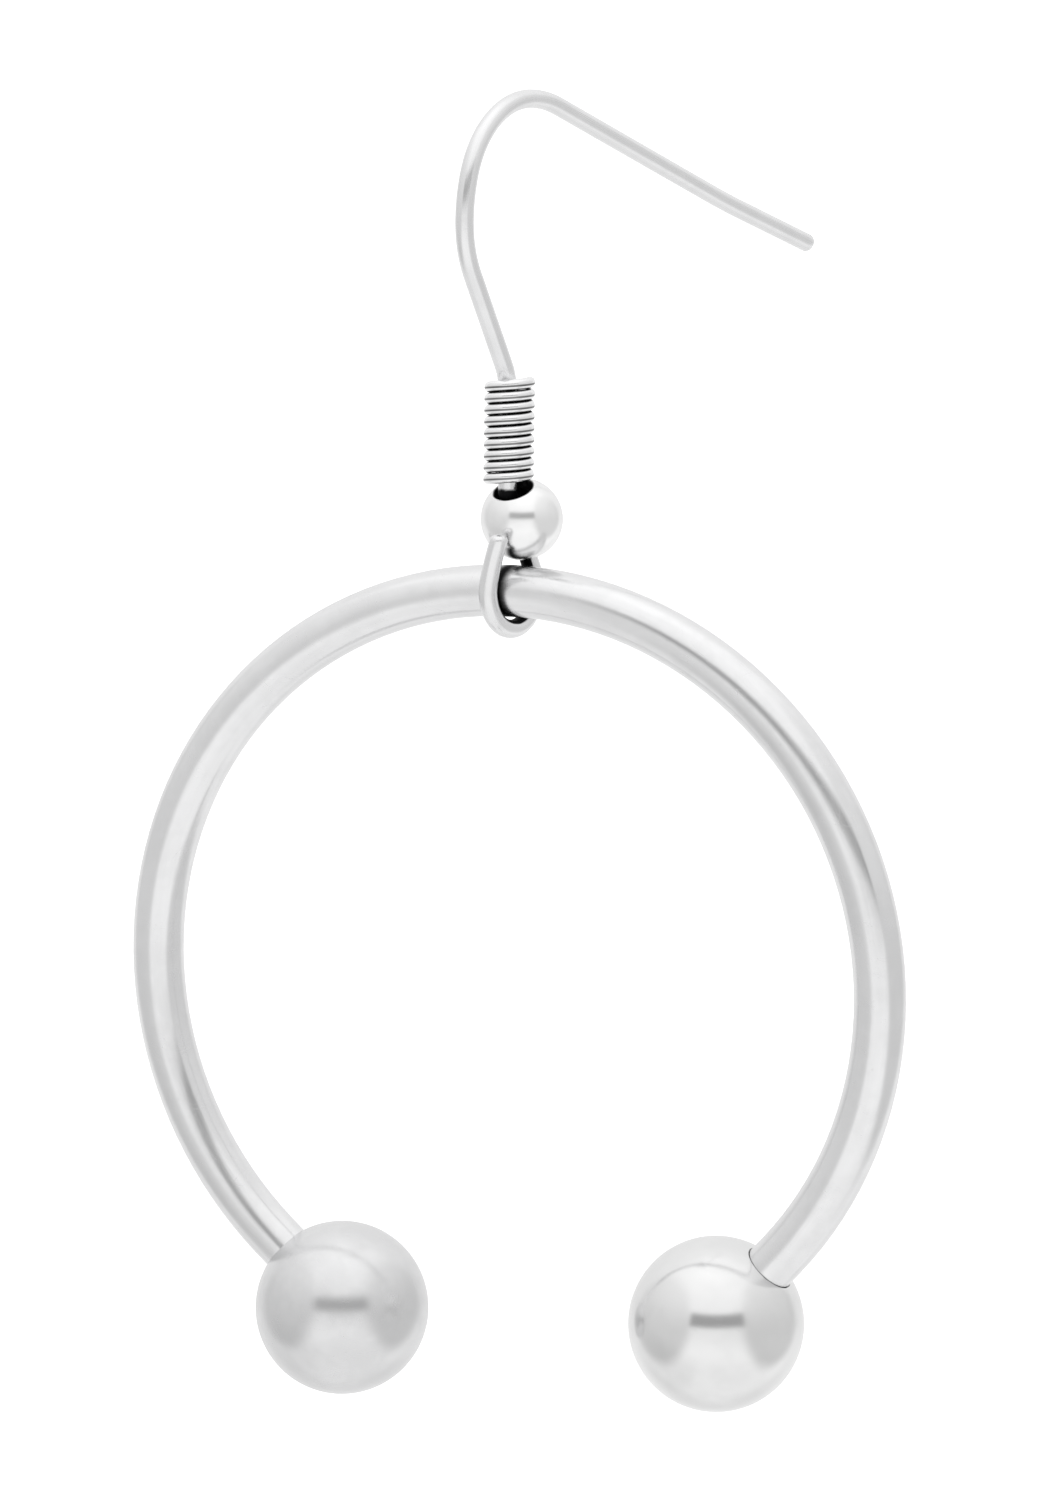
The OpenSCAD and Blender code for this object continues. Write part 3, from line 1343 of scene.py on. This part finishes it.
    def finish(self, effects: SteelEffects) -> bpy.types.Material:
        """Polished steel with painted shade in the grooves and a painted dark reflection along the crest
        of each turn.

        Args:
            effects: The shared effects.

        Returns:
            The material.
        """
        return SteelFinish(
            "coil_steel",
            tone=(0.92, 0.92, 0.925),
            gloss=0.14,
            lines=0.06,
            line_depth=0.0003,
            # Painted shade in the grooves and a painted dark reflection along each turn's crest.
            painted_shades=(PaintedShadeGroove(outer_share=0.56, turns=self.turns, ragged=0.04, soft=0.12),),
            crest=CrestShade(height=-0.2, half_width=0.26, tone=0.15, gloss=0.2),
        ).material(effects)

    def dress(self, effects: SteelEffects) -> None:
        """Builds the coil and gives it its finish."""
        hand_over(self.build(), self.finish(effects), Body.EAR_WIRE, "coil")


@dataclass
class Bead:
    """The drilled bead between the coil and the eye, placed in the ear wire's plane."""

    ear_wire: EarWire
    diameter: float = 3.1
    hole: float = 1.5
    lean: float = 25.0
    middle: tuple[float, float, float] = (0.5, -0.1, 2.56)
    rim_radius: float = 0.07
    # How far past the hole's edge the painted shade reaches, in millimetres.
    rim_shade: float = 0.035
    segments: int = 128
    rings: int = 96

    def centre(self) -> Vector:
        """The bead's middle, in metres."""
        return self.ear_wire.plane() @ Vector(self.middle)

    def axes(self) -> Matrix:
        """From the bead's own axes to the model, with its hole along Z."""
        return self.ear_wire.axes() @ Matrix.Rotation(math.radians(-self.lean), 3, "Y")

    def build(self) -> Piece:
        """Cuts a sphere open at both ends, rounds the rims and joins them by the hole.

        Returns:
            The bead.
        """
        axes = self.axes()
        radius = self.diameter / 2.0
        turning = (self.centre(), axes.to_euler(), radius, self.segments, self.rings)
        ball = TurnedBall("drilled_bead", *turning)
        profile = rim(radius, self.hole / 2.0, self.rim_radius)
        for end in (UP, -UP):
            ball.open_cap(axes @ end, profile)
        select_open_edges()
        bpy.ops.mesh.bridge_edge_loops()
        return close_and_smooth(ball.piece)

    def finish(self, effects: SteelEffects) -> bpy.types.Material:
        """Mirror-polished steel with painted shade in the hole and on its rims.

        Args:
            effects: The shared effects.

        Returns:
            The material.
        """
        middle = tuple(self.centre() / MM)
        axis = tuple(self.axes() @ UP)
        # Painted shade in the hole and on its rims.
        in_hole = PaintedShadeBore(middle, axis, self.hole / 2.0 + self.rim_shade, ragged=0.04, soft=0.1)
        return SteelFinish(
            "bead_steel", tone=(0.91, 0.91, 0.91), gloss=0.2, painted_shades=(in_hole,)
        ).material(effects)

    def dress(self, effects: SteelEffects) -> None:
        """Builds the bead and gives it its finish."""
        hand_over(self.build(), self.finish(effects), Body.EAR_WIRE, "bead")


@dataclass
class Barbell:
    """The round bar bent to a horseshoe, with a pin and a ball at each end.

    The seat is the middle of the bar where it hangs, in metres.
    """

    seat: Vector
    bar: float = 1.95
    ring_r: float = 14.7
    ring_shift: float = 0.04
    open_half: float = 45.1
    ring_roll: float = 2.6
    end_run: float = 3.88
    ball: float = 6.65
    shoulder: float = 3.0
    pin: float = 1.2
    pin_run: float = 2.4
    chamfer: float = 0.05
    gap: float = 0.03
    rim_radius: float = 0.02
    sides: int = 96
    ball_segments: int = 160
    ball_rings: int = 120

    def plane(self) -> Matrix:
        """From the ring's plane in millimetres, round its centre, to the model in metres."""
        centre = self.seat + Vector((self.ring_shift, 0.0, -self.ring_r)) * MM
        return Matrix.Translation(centre) @ Matrix.Scale(MM, 4)

    def bend_end(self, side: Side) -> Station:
        """Where the bend meets a straight end.

        Args:
            side: The end.

        Returns:
            The station, with the heading that leaves the ring.
        """
        angle = 270.0 + self.ring_roll + side.value * self.open_half
        spoke = math.radians(angle)
        heading = angle - 90.0 * side.value
        return Station(self.ring_r * math.cos(spoke), self.ring_r * math.sin(spoke), heading)

    def straight(self) -> Bend:
        """The straight run between the bend and a shoulder."""
        return Bend(self.end_run - self.shoulder)

    def seat_along(self) -> float:
        """Length of bar from the left shoulder to its top, in millimetres."""
        return self.straight().run + math.radians(180.0 - self.open_half + self.ring_roll) * self.ring_r

    def build_bar(self) -> Piece:
        """Bends the bar from the left shoulder to the right one and turns its pins.

        Returns:
            The bar.
        """
        start = self.bend_end(Side.LEFT).after(self.straight()).turned_round()
        sweep = WireSweep("horseshoe_bar", self.plane(), start, self.bar / 2.0, self.sides)
        bend = Bend(0.0, 2.0 * self.open_half - 360.0, self.ring_r)
        for row in (self.straight(), bend, self.straight()):
            sweep.draw(row)
        for tool in (sweep.end_tool, sweep.start_tool):
            self._turn_pin(tool())
        return close_and_smooth(sweep.piece)

    def _turn_pin(self, tool: RingTool) -> None:
        """Turns the shoulder and the pin on the open end of the bar.

        Args:
            tool: The tool on that end.
        """
        shoulder_h = self.chamfer / 2.0
        pin_r = self.pin / 2.0
        tool.follow([(shoulder_h, self.bar / 2.0 - self.chamfer), (shoulder_h, pin_r)])
        tool.follow([(self.pin_run, pin_r)])
        tool.close(self.pin_run)

    def build_ball(self, side: Side) -> Piece:
        """Turns one ball with its seat for the bar and its blind hole for the pin.

        Args:
            side: The end that the ball sits on.

        Returns:
            The ball.
        """
        station = self.bend_end(side).after(Bend(self.end_run))
        axis = -station.direction()
        radius = self.ball / 2.0
        poles = axis.to_track_quat("Z", "Y").to_euler()
        turning = (self.plane() @ station.point(), poles, radius, self.ball_segments, self.ball_rings)
        ball = TurnedBall(f"{side.name.lower()}_ball", *turning)
        profile = rim(radius, self.bar / 2.0 + self.gap, self.rim_radius)
        floor_h = self.shoulder - self.gap
        hole_r = self.pin / 2.0 + self.gap
        hole_foot = self.shoulder - self.pin_run - self.gap
        tool = ball.open_cap(axis, profile)
        tool.follow([(floor_h, profile[-1][1]), (floor_h, hole_r), (hole_foot, hole_r)])
        tool.close(hole_foot)
        return close_and_smooth(ball.piece)

    def bar_finish(self, effects: SteelEffects) -> bpy.types.Material:
        """Mirror-polished steel with painted shade where the bar hangs in the eye.

        Args:
            effects: The shared effects.

        Returns:
            The material.
        """
        # Painted shade round the bar where it hangs in the eye.
        in_eye = PaintedShadeBand(self.seat_along(), half_width=0.27, skew=0.26, ragged=0.15, soft=1.6)
        return SteelFinish(
            "bar_steel",
            tone=(0.81, 0.81, 0.815),
            gloss=0.17,
            lines=0.07,
            line_depth=0.0005,
            painted_shades=(in_eye,),
        ).material(effects)

    def ball_finish(self, side: Side, effects: SteelEffects) -> bpy.types.Material:
        """Mirror-polished steel, a little duller on the left ball.

        Args:
            side: The end that the ball sits on.
            effects: The shared effects.

        Returns:
            The material.
        """
        if side is Side.LEFT:
            return SteelFinish(
                "left_ball_steel", tone=(0.74, 0.74, 0.745), gloss=0.23, haze=0.04, hairlines=0.05
            ).material(effects)
        return SteelFinish(
            "right_ball_steel", tone=(0.8, 0.8, 0.8), gloss=0.16, haze_scale=0.35, hairlines=0.06
        ).material(effects)

    def dress(self, effects: SteelEffects) -> None:
        """Builds the bar and the two balls and gives them their finishes.

        Args:
            effects: The shared effects.
        """
        hand_over(self.build_bar(), self.bar_finish(effects), Body.BARBELL, "barbell_bar")
        for side in Side:
            finish = self.ball_finish(side, effects)
            node = f"ball_{side.name.lower()}"
            hand_over(self.build_ball(side), finish, Body.BARBELL, node)


class PanelShape(Enum):
    """Outline of a patch of the light tent."""

    SQUARE = "square"
    ROUND = "round"


@dataclass(frozen=True)
class TentPanel:
    """A soft-edged patch of the light tent, as seen from the object. Angles are in degrees.

    Attributes:
        name: What the patch is.
        shape: Its outline.
        turn: Direction of its middle, from the camera's side to the right.
        half_width: Half of its width.
        height: Height of its middle above the horizon.
        half_height: Half of its height.
        soft: Width of its soft edge, as a share of its half size.
        share_low: What it leaves of the sheet's light at its lower edge.
        share_high: What it leaves of the sheet's light at its upper edge.
    """

    name: str
    shape: PanelShape
    turn: float
    half_width: float
    height: float
    half_height: float
    soft: float
    share_low: float
    share_high: float

    def share(self, wiring: Wiring, turn: Socket, height: Socket) -> Socket:
        """What the patch leaves of the sheet's light in a direction.

        Args:
            wiring: The world's nodes.
            turn: The direction's turn from the camera's side, in degrees.
            height: Its height above the horizon, in degrees.

        Returns:
            A socket that is 1 outside the patch.
        """
        turned = wiring.math("WRAP", wiring.math("SUBTRACT", turn, self.turn), 180.0, -180.0)
        off_turn = wiring.off(turned, 0.0, self.half_width)
        off_height = wiring.off(height, self.height, self.half_height)
        if self.shape is PanelShape.ROUND:
            squares = wiring.math("MULTIPLY", off_turn, off_turn)
            squares = wiring.math("MULTIPLY_ADD", off_height, off_height, squares)
            mask = wiring.soft_edge(wiring.math("SQRT", squares), self.soft)
        else:
            mask = wiring.soft_edge(off_turn, self.half_height / self.half_width * self.soft)
            mask = wiring.math("MULTIPLY", mask, wiring.soft_edge(off_height, self.soft))
        step = (self.share_high - self.share_low) / (2.0 * self.half_height)
        loss = (self.share_high + self.share_low) / 2.0 - 1.0 - step * self.height
        return wiring.math("MULTIPLY_ADD", wiring.math("MULTIPLY_ADD", height, step, loss), mask, 1.0)


@dataclass(frozen=True)
class SheetGlow:
    """Brightness of the tent's white sheet at one height.

    Attributes:
        height: Height above the horizon in degrees.
        level: Brightness against the brightest part.
    """

    height: float
    level: float


@dataclass
class Studio:
    """A white light tent, the pale floor under it and the camera in its slot."""

    camera_turn: float = 21.85
    camera_height: float = 9.12
    camera_distance: float = 297.3
    aim: tuple[float, float, float] = (-0.488, 0.435, -24.316)
    focal_length: float = 188.62
    sensor: float = 36.0
    nearest: float = 10.0
    farthest: float = 10000.0
    floor_level: float = -75.0
    floor_width: float = 6000.0
    floor_glow: float = 0.4
    paper_tone: float = 0.9
    paper_gloss: float = 0.9
    tent_level: float = 1.23
    sheet: tuple[SheetGlow, ...] = (
        SheetGlow(-90.0, 0.83),
        SheetGlow(-55.0, 0.83),
        SheetGlow(-25.0, 0.89),
        SheetGlow(0.0, 0.82),
        SheetGlow(40.0, 0.88),
        SheetGlow(58.0, 0.93),
        SheetGlow(80.0, 1.0),
    )
    panels: tuple[TentPanel, ...] = (
        TentPanel("left_wall", PanelShape.ROUND, -82.0, 46.0, 8.0, 46.0, 0.36, 0.64, 0.93),
        TentPanel("right_wall", PanelShape.ROUND, 80.0, 46.0, 7.0, 48.0, 0.36, 0.62, 0.9),
        TentPanel("left_foot", PanelShape.ROUND, -90.0, 48.0, -40.0, 26.0, 0.8, 0.9, 0.9),
        TentPanel("back_wall", PanelShape.SQUARE, 180.0, 60.0, 0.0, 70.0, 0.4, 0.88, 0.92),
        TentPanel("camera_slot", PanelShape.SQUARE, 0.0, 37.0, 16.0, 8.5, 0.8, 0.38, 0.38),
    )

    def build_camera(self) -> None:
        """Puts the camera at its viewing angle and makes it the scene's own."""
        data = bpy.data.cameras.new("camera")
        data.sensor_width = self.sensor
        data.lens = self.focal_length
        data.clip_start = self.nearest * MM
        data.clip_end = self.farthest * MM
        camera = bpy.data.objects.new("camera", data)
        bpy.context.scene.collection.objects.link(camera)
        turn = Matrix.Rotation(math.radians(self.camera_turn), 3, "Z")
        tilt = Matrix.Rotation(math.radians(-self.camera_height), 3, "X")
        back = turn @ tilt @ Vector((0.0, -1.0, 0.0))
        camera.location = (Vector(self.aim) + back * self.camera_distance) * MM
        camera.rotation_euler = (-back).to_track_quat("-Z", "Y").to_euler()
        bpy.context.scene.camera = camera

    def build_floor(self) -> None:
        """Lays the plain pale floor well below the object."""
        clear_selection()
        place = UP * (self.floor_level * MM)
        bpy.ops.mesh.primitive_plane_add(size=self.floor_width * MM, location=place)
        floor = name_and_settle("floor")
        paper = bpy.data.materials.new("white_paper")
        paper.use_nodes = True
        inputs = paper.node_tree.nodes["Principled BSDF"].inputs
        inputs["Base Color"].default_value = (self.paper_tone,) * 3 + (1.0,)
        inputs["Roughness"].default_value = self.paper_gloss
        inputs["Emission Color"].default_value = (1.0, 1.0, 1.0, 1.0)
        inputs["Emission Strength"].default_value = self.floor_glow
        floor.data.materials.append(paper)
        floor.visible_glossy = False

    def build_tent(self) -> None:
        """Makes the light tent as the world around the object."""
        world = bpy.data.worlds.new("light_tent")
        bpy.context.scene.world = world
        world.use_nodes = True
        world.node_tree.nodes.clear()
        wiring = Wiring(world.node_tree)
        place = wiring.node("TexCoord", {}).outputs["Generated"]
        turned = wiring.mapping(place, Rotation=(0.0, 0.0, -math.radians(self.camera_turn)))
        parts = wiring.node("SeparateXYZ", {"Vector": turned}).outputs
        front = wiring.math("MULTIPLY", parts["Y"], -1.0)
        turn = wiring.math("DEGREES", wiring.math("ARCTAN2", parts["X"], front))
        height = wiring.math("DEGREES", wiring.math("ARCSINE", parts["Z"]))
        level = self._sheet_level(wiring, height)
        for panel in self.panels:
            level = wiring.math("MULTIPLY", level, panel.share(wiring, turn, height))
        shade = wiring.node("Background", {"Color": level})
        wiring.node("OutputWorld", {"Surface": shade.outputs["Background"]})

    def _sheet_level(self, wiring: Wiring, height: Socket) -> Socket:
        """Brightness of the bare sheet.

        Args:
            wiring: The world's nodes.
            height: The direction's height above the horizon, in degrees.

        Returns:
            A socket with the brightness in that direction.
        """
        ramp = wiring.node("ValToRGB", {"Fac": wiring.math("MULTIPLY_ADD", height, 1.0 / 180.0, 0.5)})
        ramp.color_ramp.interpolation = "EASE"
        stops = ramp.color_ramp.elements
        while len(stops) > 1:
            stops.remove(stops[0])
        for index, glow in enumerate(self.sheet):
            place = glow.height / 180.0 + 0.5
            stop = stops[0] if index == 0 else stops.new(place)
            stop.position = place
            stop.color = (glow.level, glow.level, glow.level, 1.0)
        return wiring.math("MULTIPLY", ramp.outputs["Color"], self.tent_level)

    def build(self) -> None:
        """Sets up the tent, the floor and the camera."""
        self.build_tent()
        self.build_floor()
        self.build_camera()
        bpy.context.scene.view_settings.view_transform = "Standard"


def main() -> None:
    """Builds the earring, its finishes and the studio around it."""
    logging.basicConfig(level=logging.INFO, format="%(name)s: %(message)s")
    effects = SteelEffects()
    ear_wire = EarWire()
    ear_wire.dress(effects)
    Coil(ear_wire).dress(effects)
    Bead(ear_wire).dress(effects)
    Barbell(ear_wire.bar_seat()).dress(effects)
    Studio().build()


if __name__ == "__main__":
    main()
